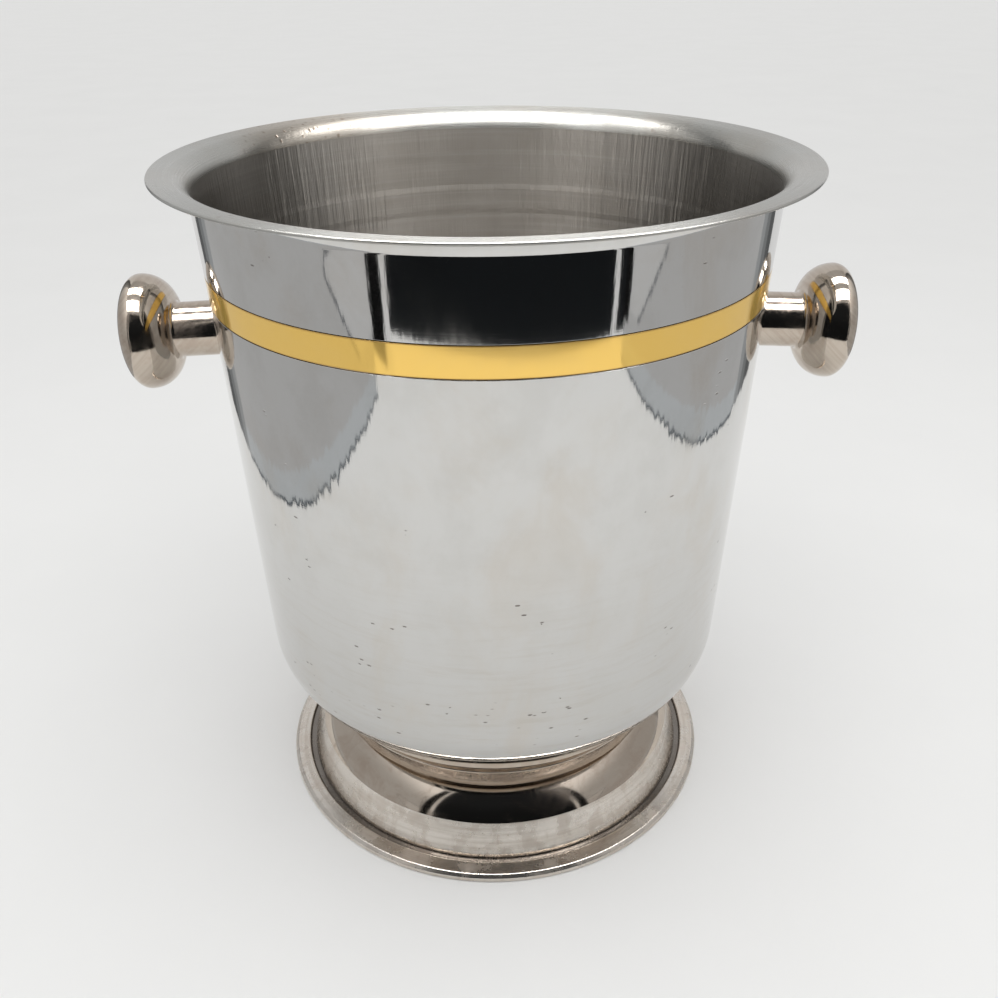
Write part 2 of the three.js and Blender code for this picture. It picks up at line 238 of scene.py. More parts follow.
# ============ node helper ============
class Nodes:
    """Short calls for building a material's node tree."""

    def __init__(self, name):
        self.material = bpy.data.materials.new(name)
        self.material.use_nodes = True
        self.tree = self.material.node_tree
        self.tree.nodes.clear()
        self.output = self.tree.nodes.new("ShaderNodeOutputMaterial")

    def add(self, kind, inputs=None, **settings):
        node = self.tree.nodes.new("ShaderNode" + kind)
        for key, value in settings.items():
            setattr(node, key, value)
        for key, value in (inputs or {}).items():
            self.put(node.inputs[key], value)
        return node

    def put(self, socket, value):
        if isinstance(value, bpy.types.NodeSocket):
            self.tree.links.new(value, socket)
        else:
            socket.default_value = value

    def math(self, operation, a, b=0.0, c=0.0):
        return self.add("Math", {0: a, 1: b, 2: c}, operation=operation).outputs[0]

    def scaled(self, vector, scale):
        return self.add("VectorMath", {0: vector, 1: scale}, operation="MULTIPLY").outputs[0]

    def noise(self, vector, scale, detail=2.0, rough=0.5, distortion=0.0):
        values = {"Vector": vector, "Scale": scale, "Detail": detail, "Roughness": rough,
                  "Distortion": distortion}
        return self.add("TexNoise", values).outputs[0]

    def ramp(self, value, low, high, out_low=0.0, out_high=1.0):
        values = {"Value": value, "From Min": low, "From Max": high,
                  "To Min": out_low, "To Max": out_high}
        return self.add("MapRange", values, interpolation_type="SMOOTHSTEP").outputs[0]

    def blend(self, share, a, b):
        node = self.add("Mix", data_type="RGBA")
        self.put(node.inputs[0], share)
        self.put(node.inputs[6], a)
        self.put(node.inputs[7], b)
        return node.outputs[2]

    def bump(self, height, distance, normal=None, strength=1.0):
        node = self.add("Bump", {"Height": height, "Distance": distance, "Strength": strength})
        if normal is not None:
            self.put(node.inputs["Normal"], normal)
        return node.outputs[0]


    def metal(self, tone, rough, normal, **more):
        """Ends the tree in a metal shader and gives back the material."""
        values = {"Base Color": tone, "Metallic": 1.0, "Roughness": rough, "Normal": normal, **more}
        return self.finish("BsdfPrincipled", values)

    def finish(self, kind, values):
        self.put(self.output.inputs[0], self.add(kind, values).outputs[0])
        return self.material


def colour(red, green, blue):
    return (red, green, blue, 1.0)


def polar(n, spot):
    """Radius from the bucket's axis, and height, of a place in object coordinates."""
    parts = n.add("SeparateXYZ", {0: spot}).outputs
    flat = n.add("CombineXYZ", {0: parts[0], 1: parts[1]}).outputs[0]
    return n.add("VectorMath", {0: flat}, operation="LENGTH").outputs["Value"], parts[2]


def lathe_lines(n, spot, fine, slow):
    """Coordinates whose noise runs in long lines round the axis."""
    radius, height = polar(n, spot)
    across = n.math("ADD", radius, height)
    turn = n.scaled(spot, (slow, slow, 0))
    step = n.add("CombineXYZ", {2: n.math("MULTIPLY", across, fine)}).outputs[0]
    return n.add("VectorMath", {0: turn, 1: step}, operation="ADD").outputs[0]


# ============ materials ============
def tilted_normal(n, spot, scale, lean):
    """The surface's normal, leaned up and down by narrow upright strips of noise."""
    strips = n.noise(n.scaled(spot, scale), 1.0, 2.0, 0.6)
    amount = n.math("MULTIPLY", n.math("SUBTRACT", strips, 0.5), lean)
    up = n.add("CombineXYZ", {2: amount}).outputs[0]
    plain = n.add("NewGeometry").outputs["Normal"]
    leaned = n.add("VectorMath", {0: plain, 1: up}, operation="ADD").outputs[0]
    return n.add("VectorMath", {0: leaned}, operation="NORMALIZE").outputs[0]


def polished_steel():
    """Mirror-polished steel: needle-like polishing marks, faint lines, pits and dull stains, with painted
    shade darkening it towards the bottom.
    """
    n = Nodes("polished_steel")
    spot = n.add("TexCoord").outputs["Object"]
    _, height = polar(n, spot)
    needles = n.ramp(height, 0.15, 0.2, 0.045, 0.006)
    chatter = n.noise(n.scaled(spot, (1300, 1300, 130)), 1.0, 2.0, 0.5)
    lines = n.noise(lathe_lines(n, spot, 2600, 25), 1.0, 3.0, 0.6)
    waves = n.noise(spot, 28, 1.0)
    cells = {"Vector": n.scaled(spot, (0.6, 0.6, 1.8)), "Scale": 300.0}
    pits = n.add("TexVoronoi", cells).outputs["Distance"]
    where = n.noise(spot, 45, 3.0, 0.6)
    low_down = n.ramp(height, 0.06, 0.15, 0.56, 0.64)
    spotted = n.math("GREATER_THAN", where, low_down)
    pit = n.math("MULTIPLY", n.ramp(pits, 0.09, 0.19, 1.0, 0.0), spotted)
    stain = n.ramp(n.noise(n.scaled(spot, (1, 1, 0.6)), 38, 5.0, 0.62, 0.4), 0.45, 0.75)
    streak = n.ramp(n.noise(lathe_lines(n, spot, 420, 45), 1.0, 5.0, 0.7), 0.45, 0.75)
    # Painted shade: brown streaks painted in, growing darker towards the bottom.
    streaky_low_shade = n.math("MULTIPLY", streak, n.ramp(height, 0.06, 0.16, 0.38, 0.0))
    # Painted shade: the steel's tone is shaded darker towards the bottom and lit paler higher up.
    shaded_low_tone, lit_high_tone = colour(0.59, 0.585, 0.57), colour(0.665, 0.66, 0.645)
    tone = n.blend(n.ramp(height, 0.05, 0.17), shaded_low_tone, lit_high_tone)
    cloud = n.noise(n.scaled(spot, (60, 60, 50)), 1.0, 5.0, 0.65)
    tone = n.blend(n.ramp(cloud, 0.42, 0.68, 0.0, 0.4), tone, colour(0.57, 0.56, 0.535))
    tone = n.blend(n.math("MULTIPLY", stain, 0.5), tone, colour(0.58, 0.53, 0.465))
    tone = n.blend(streaky_low_shade, tone, colour(0.50, 0.455, 0.40))
    tone = n.blend(n.math("MULTIPLY", pit, 0.75), tone, colour(0.16, 0.13, 0.11))
    rough = n.math("ADD", n.ramp(stain, 0.0, 1.0, 0.03, 0.08), n.math("MULTIPLY", lines, 0.03))
    normal = tilted_normal(n, spot, (900, 900, 45), needles)
    normal = n.bump(waves, 0.00018, normal)
    normal = n.bump(chatter, 0.0000055, normal)
    normal = n.bump(lines, 0.0000012, normal)
    normal = n.bump(pit, -0.00006, normal)
    return n.metal(tone, rough, normal)


def satin_steel():
    """Brushed inside of the bucket: fine lines round the axis that spread highlights upright."""
    n = Nodes("satin_steel")
    spot = n.add("TexCoord").outputs["Object"]
    lines = n.noise(lathe_lines(n, spot, 3200, 14), 1.0, 4.0, 0.7)
    bold = n.noise(lathe_lines(n, spot, 520, 9), 1.0, 2.0, 0.6)
    _, height = polar(n, spot)
    on_wall = n.ramp(height, BODY_BOTTOM + 0.5 * CORNER_RADIUS, BODY_BOTTOM + CORNER_RADIUS)
    columns = n.math("MULTIPLY", n.noise(n.scaled(spot, (330, 330, 2)), 1.0, 3.0, 0.7), on_wall)
    worn = n.ramp(n.noise(spot, 20, 4.0, 0.6), 0.35, 0.7)
    tone = n.blend(worn, colour(0.36, 0.338, 0.31), colour(0.30, 0.278, 0.25))
    tone = n.blend(n.ramp(bold, 0.5, 0.75, 0.0, 0.12), tone, colour(0.60, 0.57, 0.54))
    tone = n.blend(n.ramp(lines, 0.45, 0.7, 0.0, 0.4), tone, colour(0.28, 0.265, 0.245))
    rough = n.math("ADD", n.ramp(lines, 0.3, 0.7, 0.26, 0.33), n.math("MULTIPLY", columns, 0.05))
    normal = n.bump(lines, 0.000008)
    normal = n.bump(bold, 0.000008, normal)
    normal = n.bump(columns, 0.0003, normal)
    tangent = n.add("Tangent", direction_type="RADIAL", axis="Z").outputs[0]
    spread = {"Anisotropic": 1.0, "Anisotropic Rotation": QUARTER_TURN, "Tangent": tangent}
    return n.metal(tone, rough, normal, **spread)


def lip_steel():
    """Satin flare of the rim: fine turning lines, small pits, and brown spots in one place."""
    n = Nodes("lip_steel")
    spot = n.add("TexCoord").outputs["Object"]
    lines = n.noise(lathe_lines(n, spot, 4200, 30), 1.0, 3.0, 0.6)
    specks = n.add("TexVoronoi", {"Vector": spot, "Scale": 260.0}).outputs["Distance"]
    where = n.ramp(n.noise(spot, 26, 3.0, 0.6), 0.58, 0.66)
    speck = n.math("MULTIPLY", n.ramp(specks, 0.24, 0.08), where)
    haze = n.ramp(n.noise(spot, 30, 4.0, 0.6), 0.4, 0.75)
    tone = n.blend(n.math("MULTIPLY", haze, 0.5), colour(0.46, 0.458, 0.435), colour(0.40, 0.36, 0.315))
    nearby = n.add("VectorMath", {0: spot, 1: LIP_STAIN}, operation="DISTANCE").outputs["Value"]
    stained = n.ramp(nearby, 0.012, 0.045, 1.0, 0.0)
    spots = n.add("TexVoronoi", {"Vector": spot, "Scale": 330.0}).outputs["Distance"]
    speck = n.math("MAXIMUM", speck, n.math("MULTIPLY", n.ramp(spots, 0.3, 0.12), stained))
    tone = n.blend(n.math("MULTIPLY", stained, 0.5), tone, colour(0.40, 0.33, 0.26))
    tone = n.blend(n.math("MULTIPLY", speck, 0.7), tone, colour(0.2, 0.15, 0.11))
    rough = n.ramp(lines, 0.3, 0.7, 0.26, 0.34)
    columns = n.noise(n.scaled(spot, (330, 330, 2)), 1.0, 3.0, 0.7)
    normal = n.bump(lines, 0.000005)
    normal = n.bump(columns, 0.00009, normal)
    normal = n.bump(speck, -0.00005, normal)
    tangent = n.add("Tangent", direction_type="RADIAL", axis="Z").outputs[0]
    spread = {"Anisotropic": 0.9, "Anisotropic Rotation": QUARTER_TURN, "Tangent": tangent}
    return n.metal(tone, rough, normal, **spread)


def gilt():
    """Polished gilt of the band, darker and redder along its top and bottom edges."""
    n = Nodes("gilt")
    spot = n.add("TexCoord").outputs["Object"]
    _, height = polar(n, spot)
    edge = 0.5 * MM
    low_edge = n.ramp(height, band_low.z, band_low.z + edge, 1.0, 0.0)
    high_edge = n.ramp(height, band_high.z - edge, band_high.z, 0.0, 1.0)
    dark_edges = n.math("ADD", low_edge, high_edge)
    wear = n.ramp(n.noise(spot, 55, 4.0, 0.6), 0.4, 0.75)
    lines = n.noise(lathe_lines(n, spot, 3000, 20), 1.0, 3.0, 0.6)
    chatter = n.noise(n.scaled(spot, (1100, 1100, 120)), 1.0, 2.0, 0.5)
    tone = n.blend(n.math("MULTIPLY", wear, 0.4), colour(1.0, 0.66, 0.17), colour(0.96, 0.66, 0.22))
    tone = n.blend(n.math("MULTIPLY", dark_edges, 0.55), tone, colour(0.25, 0.12, 0.05))
    rough = n.math("ADD", n.ramp(wear, 0.0, 1.0, 0.05, 0.1), n.math("MULTIPLY", lines, 0.03))
    normal = n.bump(chatter, 0.000004)
    normal = n.bump(lines, 0.000001, normal)
    return n.finish("BsdfPrincipled", {"Base Color": tone, "Metallic": GILT_METALLIC, "Roughness": rough,
                                       "Normal": normal})


def nickel_plate():
    """Warm nickel of the knobs and foot: brown haze, streaks round the axis, dull worn patches."""
    n = Nodes("nickel_plate")
    spot = n.add("TexCoord").outputs["Object"]
    streaks = n.noise(lathe_lines(n, spot, 700, 16), 1.0, 5.0, 0.65)
    lines = n.noise(lathe_lines(n, spot, 3800, 30), 1.0, 3.0, 0.6)
    haze = n.ramp(n.noise(spot, 90, 7.0, 0.68, 0.6), 0.44, 0.66)
    clean, brown = colour(0.58, 0.51, 0.435), colour(0.45, 0.375, 0.31)
    tone = n.blend(n.ramp(streaks, 0.4, 0.7, 0.0, 0.6), clean, brown)
    tone = n.blend(n.math("MULTIPLY", haze, 0.6), tone, colour(0.46, 0.37, 0.30))
    rough = n.math("ADD", n.ramp(haze, 0.0, 1.0, 0.05, 0.17), n.math("MULTIPLY", streaks, 0.05))
    normal = n.bump(streaks, 0.000012)
    normal = n.bump(lines, 0.000002, normal)
    return n.metal(tone, rough, normal)


def satin_nickel():
    """Foot's flange and skirt: dull nickel with brown streaks, and painted shade in the groove between."""
    n = Nodes("satin_nickel")
    spot = n.add("TexCoord").outputs["Object"]
    streaks = n.noise(lathe_lines(n, spot, 900, 14), 1.0, 5.0, 0.7)
    runs = n.noise(n.scaled(spot, (260, 260, 22)), 1.0, 4.0, 0.65)
    lines = n.noise(lathe_lines(n, spot, 4200, 26), 1.0, 3.0, 0.6)
    ticks = n.noise(spot, 1600, 3.0, 0.7)
    haze = n.ramp(n.noise(spot, 110, 5.0, 0.6), 0.4, 0.7)
    clean, brown = colour(0.72, 0.675, 0.62), colour(0.56, 0.505, 0.445)
    tone = n.blend(n.ramp(streaks, 0.42, 0.62, 0.0, 0.7), clean, brown)
    tone = n.blend(n.ramp(runs, 0.5, 0.8, 0.0, 0.6), tone, colour(0.42, 0.35, 0.29))
    tone = n.blend(n.math("MULTIPLY", haze, 0.35), tone, colour(0.60, 0.50, 0.42))
    radius, height = polar(n, spot)
    # Painted shade: the groove between flange and skirt is painted near-black.
    sunk = n.ramp(height, 2.8 * MM, 3.3 * MM, 0.8, 0.0)
    groove_shade = n.math("MULTIPLY", sunk, n.ramp(radius, 75 * MM, 76 * MM, 1.0, 0.0))
    tone = n.blend(groove_shade, tone, colour(0.12, 0.105, 0.095))
    rough = n.math("ADD", n.ramp(haze, 0.0, 1.0, 0.2, 0.32), n.math("MULTIPLY", streaks, 0.08))
    normal = n.bump(streaks, 0.00001)
    normal = n.bump(lines, 0.000004, normal)
    normal = n.bump(ticks, 0.000004, normal)
    return n.metal(tone, rough, normal)


def zinc_plate():
    """Plain zinc plate of the hidden fixings."""
    n = Nodes("zinc_plate")
    spot = n.add("TexCoord").outputs["Object"]
    mottle = n.noise(spot, 500, 4.0, 0.6)
    tone = n.blend(mottle, colour(0.46, 0.47, 0.49), colour(0.62, 0.62, 0.63))
    rough = n.ramp(mottle, 0.3, 0.7, 0.3, 0.45)
    normal = n.bump(mottle, 0.00002)
    return n.metal(tone, rough, normal)


def seal_rubber():
    """Matt black rubber of the rings inside the wall."""
    n = Nodes("seal_rubber")
    spot = n.add("TexCoord").outputs["Object"]
    grain = n.noise(spot, 1500, 3.0, 0.6)
    tone = n.blend(grain, colour(0.018, 0.018, 0.019), colour(0.04, 0.04, 0.04))
    normal = n.bump(grain, 0.00003)
    rough = n.ramp(grain, 0.3, 0.7, 0.6, 0.8)
    return n.finish("BsdfPrincipled", {"Base Color": tone, "Roughness": rough, "Normal": normal})


# ============ bucket body ============
corner_centre = Vector((BOTTOM_RADIUS, BODY_BOTTOM + CORNER_RADIUS))
taper_start = corner_centre + CORNER_RADIUS * direction(-TAPER)


def wall_radius(height):
    """Outside radius of the straight part of the wall."""
    return taper_start.x + (height - taper_start.y) * math.tan(TAPER)


def rolled_groove():
    """The groove that the gilt band lies in, drawn upwards on the outside."""
    low, high = band_low.z - GAP, band_high.z + GAP
    soft = 0.12 * MM
    points = [(wall_radius(low - soft), low - soft, 0), (wall_radius(low), low, soft),
              (wall_radius(low) - ROLLED_DEPTH, low, 0), (wall_radius(high) - ROLLED_DEPTH, high, 0),
              (wall_radius(high), high, soft), (wall_radius(high + soft), high + soft, 0)]
    return rounded(points, False)[1:-1]


def rolled_bulge():
    """The groove's bulge on the inside of the sheet, drawn downwards."""
    low, high = band_low.z - GAP - SHEET, band_high.z + GAP + SHEET
    soft = 4 * MM
    profile = [(high + SHEET, 0, 0), (high, 0, soft), (high - BULGE_SLOPE, BULGE_DEPTH, soft),
               (low + BULGE_SLOPE, BULGE_DEPTH, soft), (low, 0, soft), (low - SHEET, 0, 0)]
    points = [(wall_radius(z) - SHEET - depth, z, bend) for z, depth, bend in profile]
    return rounded(points, False)[1:-1]


def body_stations():
    radius = wall_radius(RIM_TOP) + LIP_BEND
    drop = (RIM_RADIUS - radius) * math.tan(LIP_SLOPE)
    bend = Vector((radius, RIM_TOP - SHEET - drop - LIP_BEND))
    lip_angle = math.pi / 2 + LIP_SLOPE
    wall_angle = math.pi - TAPER
    edge_centre = Vector((RIM_RADIUS - SHEET / 2, RIM_TOP - SHEET / 2))
    outside = [corner(0, BODY_BOTTOM)]
    outside += arc(corner_centre, CORNER_RADIUS, -math.pi / 2, -TAPER)
    outside += rolled_groove()
    outside += arc(bend, LIP_BEND, wall_angle, lip_angle)
    edge = arc(edge_centre, SHEET / 2, -math.pi / 2, math.pi / 2)
    inside = arc(bend, LIP_BEND + SHEET, lip_angle, wall_angle)
    inside += rolled_bulge()
    inside += arc(corner_centre, CORNER_RADIUS - SHEET, -TAPER, -math.pi / 2)
    inside.append(corner(0, BODY_BOTTOM + SHEET))
    return outside, edge, inside


def bucket_body():
    outside, edge, inside = body_stations()
    piece = turned("bucket_shell", outside + edge + inside, ROUND_STEPS, closed=False)
    finished(piece, "bucket_body", "polished_steel", polished_steel(), lip_steel(), satin_steel())
    outside_faces = len(outside)
    lip_end = RIM_TOP - LIP_BEND - SHEET
    for face in piece.data.polygons:
        ring = face.index // ROUND_STEPS
        height = face.center.z
        if ring < outside_faces:
            face.material_index = 0
        else:
            face.material_index = 1 if height > lip_end else 2


def gold_band():
    soft = 0.12 * MM
    points = [(wall_radius(height) - depth, height, soft) for height, depth in (
        (band_low.z, BAND_THICKNESS), (band_low.z, 0), (band_high.z, 0), (band_high.z, BAND_THICKNESS))]
    piece = turned("gilt_band", rounded(points, True), ROUND_STEPS)
    finished(piece, "gold_band", "gilt", gilt())


# ============ knobs ============
def knob_place(side):
    turn = Matrix.Rotation(side * (math.pi / 2 + TAPER), 4, "Y")
    return Matrix.Translation((side * wall_radius(KNOB_HEIGHT), 0, KNOB_HEIGHT)) @ turn


def saddle(offset, reach):
    """Bends what lies near the wall so that it follows the wall's round, at a distance from it."""
    radius = wall_radius(KNOB_HEIGHT) + offset

    def bend(v):
        if v.z > reach:
            return v
        return Vector((v.x, v.y, v.z + math.sqrt(radius ** 2 - v.y ** 2) - radius))
    return bend


def knob_stations():
    bore = SCREW_RADIUS + GAP
    widest = STEM_LENGTH + HEAD_ROUND
    back_centre = Vector((STEM_RADIUS, widest))
    fillet_centre = Vector((STEM_RADIUS + STEM_FILLET, STEM_LENGTH - STEM_FILLET))
    back_start = -math.pi / 2 + math.asin(STEM_FILLET / HEAD_ROUND)
    edge_centre = Vector((STEM_RADIUS + HEAD_ROUND - HEAD_EDGE_RADIUS, widest))
    face_angle = math.acos((HEAD_FACE_RADIUS - edge_centre.x) / HEAD_EDGE_RADIUS)
    face_height = widest + HEAD_EDGE_DEPTH * math.sin(face_angle)
    dome_radius = (HEAD_FACE_RADIUS ** 2 + HEAD_DOME ** 2) / (2 * HEAD_DOME)
    dome_centre = Vector((0, face_height + HEAD_DOME - dome_radius))
    dome_start = math.acos(HEAD_FACE_RADIUS / dome_radius)
    stations = [corner(0, BORE_DEPTH), corner(bore, BORE_DEPTH), corner(bore, GAP)]
    stations.append(corner(STEM_RADIUS, GAP))
    stations += arc(fillet_centre, STEM_FILLET, math.pi, math.pi / 2 + math.radians(8))
    stations += arc(back_centre, HEAD_ROUND, back_start, 0)
    stations += arc(edge_centre, HEAD_EDGE_RADIUS, 0, face_angle, HEAD_EDGE_DEPTH / HEAD_EDGE_RADIUS)
    stations += arc(dome_centre, dome_radius, dome_start, math.pi / 2)[1:-1]
    stations.append(corner(0, face_height + HEAD_DOME))
    return stations


def knob(side, label, nickel):
    piece = turned(f"knob_turned_{label}", knob_stations(), KNOB_STEPS, closed=False,
                   place=knob_place(side), bend=saddle(GAP, 2 * GAP))
    finished(piece, f"knob_{label}", "nickel_plate", nickel)


def knob_fixings(side, label, zinc, rubber):
    washer_top = -SHEET - GAP
    washer_low = washer_top - WASHER_THICKNESS
    bore = SCREW_RADIUS + GAP
    soft = 0.3 * MM
    ring = [(bore, washer_low, soft), (WASHER_RADIUS, washer_low, soft),
            (WASHER_RADIUS, washer_top, soft), (bore, washer_top, soft)]
    washer = turned(f"seal_ring_{label}", rounded(ring, True), SMALL_STEPS, place=knob_place(side),
                    bend=saddle(-SHEET - GAP, 0))
    finished(washer, f"knob_washer_{label}", "seal", rubber)
    under_head = washer_low - GAP
    head_top = under_head - SCREW_HEAD_HEIGHT
    points = [(0, head_top, 0), (SCREW_HEAD_RADIUS, head_top, 2.6 * MM), (SCREW_HEAD_RADIUS, under_head, 0),
              (SCREW_RADIUS, under_head, 0), (SCREW_RADIUS, SCREW_REACH, 0.6 * MM), (0, SCREW_REACH, 0)]
    screw = turned(f"knob_fixing_{label}", rounded(points, False), SMALL_STEPS, closed=False,
                   place=knob_place(side))
    finished(screw, f"knob_screw_{label}", "fixings", zinc)


# ============ foot ============
def bowed(start, end, bow):
    """Stations along an arc between two points that swells by `bow` to the right of its way."""
    chord = end - start
    half = chord.length / 2
    if abs(bow) < 1e-9:
        return [corner(*start), corner(*end)]
    radius = (half ** 2 + bow ** 2) / (2 * abs(bow))
    side = Vector((chord.y, -chord.x)).normalized() * (1 if bow > 0 else -1)
    centre = (start + end) / 2 - side * (radius - abs(bow))
    first = math.atan2(start.y - centre.y, start.x - centre.x)
    sweep = 2 * math.asin(half / radius) * (1 if bow > 0 else -1)
    return arc(centre, radius, first, first + sweep)


def foot_stations():
    """Outlines of the satin flange and skirt, then of the polished cove and the rest."""
    edge = FOOT_RADIUS
    rest_inner = 75 * MM
    flange = 3.5 * MM
    groove = 1.2 * MM
    soft = 0.25 * MM
    bow = 0.05 * MM
    band_foot = Vector((72.8 * MM, 4.4 * MM))
    fold = Vector((68.8 * MM, 15 * MM))
    cove_top = Vector((60.6 * MM, 23.3 * MM))
    neck = 59.6 * MM
    drum = 56 * MM
    drum_base = 26.8 * MM
    shell = 1.2 * MM
    top = foot_high.z
    hole = 10.3 * MM
    inward = Vector((shell, shell))
    flanges = rounded([(rest_inner, shell, 0), (rest_inner, 0, soft), (edge - 0.6 * MM, 0, 0.3 * MM),
                       (edge, 0.6 * MM, 0.3 * MM), (edge, 2 * MM, 0.6 * MM), (80.3 * MM, 3 * MM, 0.8 * MM),
                       (75.6 * MM, flange, 0.4 * MM), (75 * MM, flange - groove, soft),
                       (73.1 * MM, flange - groove, 0)], False)
    skirt = bowed(band_foot, fold, bow)
    cove = bowed(fold, cove_top, 0.8 * MM)
    drums = rounded([(neck, cove_top.y + GAP, 0), (neck, drum_base, 0.5 * MM), (drum, drum_base, 0.4 * MM),
                     (drum, top, 1.5 * MM), (hole, top, 0), (hole, top - shell, 0),
                     (drum - shell, top - shell, 1 * MM), (drum - shell, drum_base - shell, 0.4 * MM),
                     (neck - shell, drum_base - shell, 0.5 * MM), (neck - shell, cove_top.y, 0)], False)
    inside = bowed(fold - inward, band_foot - inward, -bow)
    return flanges, skirt, cove, drums + inside


def foot(polished, satin):
    flanges, skirt, cove, rest = foot_stations()
    piece = turned("foot_spun", flanges + skirt + cove + rest, ROUND_STEPS)
    finished(piece, "foot_base", "nickel_plate", polished, satin)
    satin_faces = (len(flanges) + len(skirt)) * ROUND_STEPS
    for face in piece.data.polygons:
        face.material_index = 1 if face.index < satin_faces else 0


def collar(nickel):
    bore = 56.4 * MM
    edge = 0.6 * MM
    clear = CORNER_RADIUS + GAP
    low, rim = collar_low.z, collar_high.x
    rim_low = 40.4 * MM
    rim_inner = rim - 1.2 * MM
    wide = Vector((63.8 * MM, 34.2 * MM))
    waist = 62.6 * MM
    top_angle = -math.acos((rim_inner - corner_centre.x) / clear)
    stations = rounded([(bore, low, 0), (62.4 * MM, low, edge), (wide.x, wide.y, edge),
                        (waist, wide.y + edge, edge), (waist, rim_low - edge, edge), (rim, rim_low, edge),
                        (rim, collar_high.z, edge / 2), (rim_inner, collar_high.z - 0.4 * MM, 0)], False)
    stations += arc(corner_centre, clear, top_angle, -math.pi / 2)
    stations.append(corner(bore, corner_centre.y - clear))
    piece = turned("collar_turned", stations, ROUND_STEPS)
    finished(piece, "collar_ring", "nickel_plate", nickel)


def foot_fixings(zinc):
    stud_radius = 4 * MM
    flange_radius = stud_high.x
    flange_low = stud_high.z - 1.2 * MM
    soft = 0.4 * MM
    stud = [(0, stud_low.z, 0), (stud_radius, stud_low.z, soft), (stud_radius, flange_low, soft),
            (flange_radius, flange_low, soft), (flange_radius, stud_high.z, 0), (0, stud_high.z, 0)]
    piece = turned("stud_turned", rounded(stud, False), SMALL_STEPS, closed=False)
    finished(piece, "foot_stud", "fixings", zinc)
    bore = stud_radius + GAP
    ring = [(bore, foot_washer_low.z, soft), (foot_washer_high.x, foot_washer_low.z, soft),
            (foot_washer_high.x, foot_washer_high.z, soft), (bore, foot_washer_high.z, soft)]
    piece = turned("washer_turned", rounded(ring, True), SMALL_STEPS)
    finished(piece, "foot_washer", "fixings", zinc)
    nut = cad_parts["foot_nut"]
    nut.data.materials.clear()
    nut.data.materials.append(zinc)


# ============ studio ============
LEFT_WALL = -0.285
RIGHT_WALL = 0.35
FRONT = -0.325
SIDE_END = 0.15
SEAM_SHADOW_STEPS = ((0.15, 0.18, 0.34), (0.18, 0.215, 0.22), (0.215, 0.27, 0.12))
SEAM_END = 0.27
BACK = 0.40
TENT_TOP = 0.60
HEM = 0.022
HEM_SHADOW = 0.003
POST_FOOT = 0.032
POST_GLOW = 0.004
TRIM_GLOW = 0.75
STRIP_GLOW = 10.5
FOLD_WIDTH = 0.003
LAYER = 0.0015
GLOW_START = 0.18
GLOW_END = 0.5
OPENING_REACH = -0.49
OPENING_MIDDLE = -0.025
OPENING_CURVE = 0.80
OPENING_PAST = 0.15
OPENING_STEPS = 16


def card(name, corners, low_glow, high_glow=None, tint=(1, 1, 1)):
    """A glowing card that only reflections see. Its glow may change from its foot to its top."""
    mesh = bpy.data.meshes.new(name)
    mesh.from_pydata(corners, [], [(i, i + 1, i + 3, i + 2) for i in range(0, len(corners) - 3, 2)])
    panel = bpy.data.objects.new(name, mesh)
    bpy.context.scene.collection.objects.link(panel)
    n = Nodes(name)
    glow = low_glow
    if high_glow is not None:
        height = n.add("SeparateXYZ", {0: n.add("TexCoord").outputs["Object"]}).outputs[2]
        glow = n.ramp(height, GLOW_START, GLOW_END, low_glow, high_glow)
    mesh.materials.append(n.finish("Emission", {"Color": colour(*tint), "Strength": glow}))
    panel.visible_camera = False
    panel.visible_diffuse = False
    panel.visible_shadow = False


def upright(name, start, end, glow, low=0.0, high=TENT_TOP, top_glow=None, tint=(1, 1, 1)):
    """An upright card between two places on the floor."""
    corners = [(*start, low), (*start, high), (*end, low), (*end, high)]
    card(name, corners, glow, top_glow, tint)


def overhead(name, near, far, height, glow):
    card(name, [(LEFT_WALL, near, height), (LEFT_WALL, far, height), (RIGHT_WALL, near, height),
                (RIGHT_WALL, far, height)], glow)


def tent_fold(name, wall, peak):
    """Where the tent's side folds over next to the opening: a paler flap with a dark rounded edge."""
    tip = (FRONT + 0.14, peak - 0.002, 0.008)
    path = rounded([(FRONT, peak, 0), tip, (FRONT + 0.055, peak * 0.36, 0)], False)
    inner = wall - math.copysign(LAYER, wall)
    line = inner - math.copysign(LAYER, wall)
    flap, edge = [], []
    for i, (spot, tangent, _) in enumerate(path):
        after, before = path[min(i + 1, len(path) - 1)][0], path[max(i - 1, 0)][0]
        ahead = tangent or (after - before).normalized()
        aside = Vector((ahead.y, -ahead.x)) * FOLD_WIDTH / 2
        flap += [(inner, spot.x, spot.y), (inner, FRONT, spot.y)]
        edge += [(line, *(spot + aside)), (line, *(spot - aside))]
    card(name + "_flap", flap, 0.56)
    card(name + "_edge", edge, 0.13, tint=(0.85, 0.9, 1.0))


